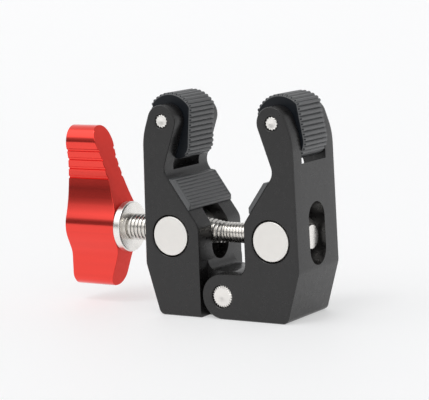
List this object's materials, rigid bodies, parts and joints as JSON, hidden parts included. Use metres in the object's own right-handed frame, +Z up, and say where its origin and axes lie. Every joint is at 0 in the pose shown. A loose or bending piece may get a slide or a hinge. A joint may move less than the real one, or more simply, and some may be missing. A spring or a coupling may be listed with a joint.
{
  "type": "camera clamp",
  "caption": "Screw clamp with two hinged jaws, swivelling ribbed tip pads, a two-way stepped screw in cross barrels and a red handle, shown fully open.",
  "frame": {"origin": "mouth of the small camera thread in the right jaw's foot, on the plane that the feet stand on", "axes": "+X along the screw from the handle to the right jaw, +Z up, Y across the jaws' width"},
  "size_m": [0.0844, 0.024, 0.0647],
  "materials": {
    "black_anodised": "satin",
    "red_anodised": "satin",
    "stainless": "satin",
    "pad_rubber": "matte"
  },
  "bodies": {
    "fixed_side": {"right_jaw": "black_anodised", "hinge_pin": "stainless", "right_tip_pin": "stainless", "right_vee_pad": "pad_rubber"},
    "swinging_side": {"left_jaw": "black_anodised", "left_tip_pin": "stainless", "left_vee_pad": "pad_rubber"},
    "right_nut": {"right_barrel": "stainless"},
    "left_nut": {"left_barrel": "stainless"},
    "washer": {"collar": "stainless"},
    "screw": {"spindle": "stainless", "end_stop": "stainless", "handle": "red_anodised", "handle_screw": "stainless"},
    "right_shoe": {"right_tip_pad": "pad_rubber"},
    "left_shoe": {"left_tip_pad": "pad_rubber"}
  },
  "joints": [
    {"name": "jaw_swing", "type": "hinge", "parent": "fixed_side", "child": "swinging_side", "pos_m": [-0.013, 0, 0.0066], "axis": [0, 1, 0], "range_deg": [0, 20]},
    {"name": "right_barrel_swivel", "type": "hinge", "parent": "fixed_side", "child": "right_nut", "pos_m": [0.0038, 0, 0.0234], "axis": [0, 1, 0], "range_deg": [0, 10]},
    {"name": "left_barrel_swivel", "type": "hinge", "parent": "swinging_side", "child": "left_nut", "pos_m": [-0.0298, 0, 0.0234], "axis": [0, 1, 0], "range_deg": [-10, 0]},
    {"name": "screw_travel", "type": "slide", "parent": "right_nut", "child": "washer", "axis": [1, 0, 0], "range_m": [0, 0.00282]},
    {"name": "screw_turn", "type": "hinge", "parent": "washer", "child": "screw", "pos_m": [-0.013, 0, 0.0234], "axis": [1, 0, 0], "range_deg": [0, 1015]},
    {"name": "right_pad_swivel", "type": "hinge", "parent": "fixed_side", "child": "right_shoe", "pos_m": [0.00536, 0, 0.05685], "axis": [0, 1, 0], "range_deg": [-24, 40]},
    {"name": "left_pad_swivel", "type": "hinge", "parent": "swinging_side", "child": "left_shoe", "pos_m": [-0.03136, 0, 0.05685], "axis": [0, 1, 0], "range_deg": [-34, 30]}
  ],
  "couplings": [
    {"joint": "jaw_swing", "follows": "screw_turn", "ratio": 0.019704},
    {"joint": "right_barrel_swivel", "follows": "screw_turn", "ratio": 0.0098521},
    {"joint": "left_barrel_swivel", "follows": "screw_turn", "ratio": -0.0098521},
    {"joint": "screw_travel", "follows": "screw_turn", "m_per_rad": 0.00015915}
  ]
}
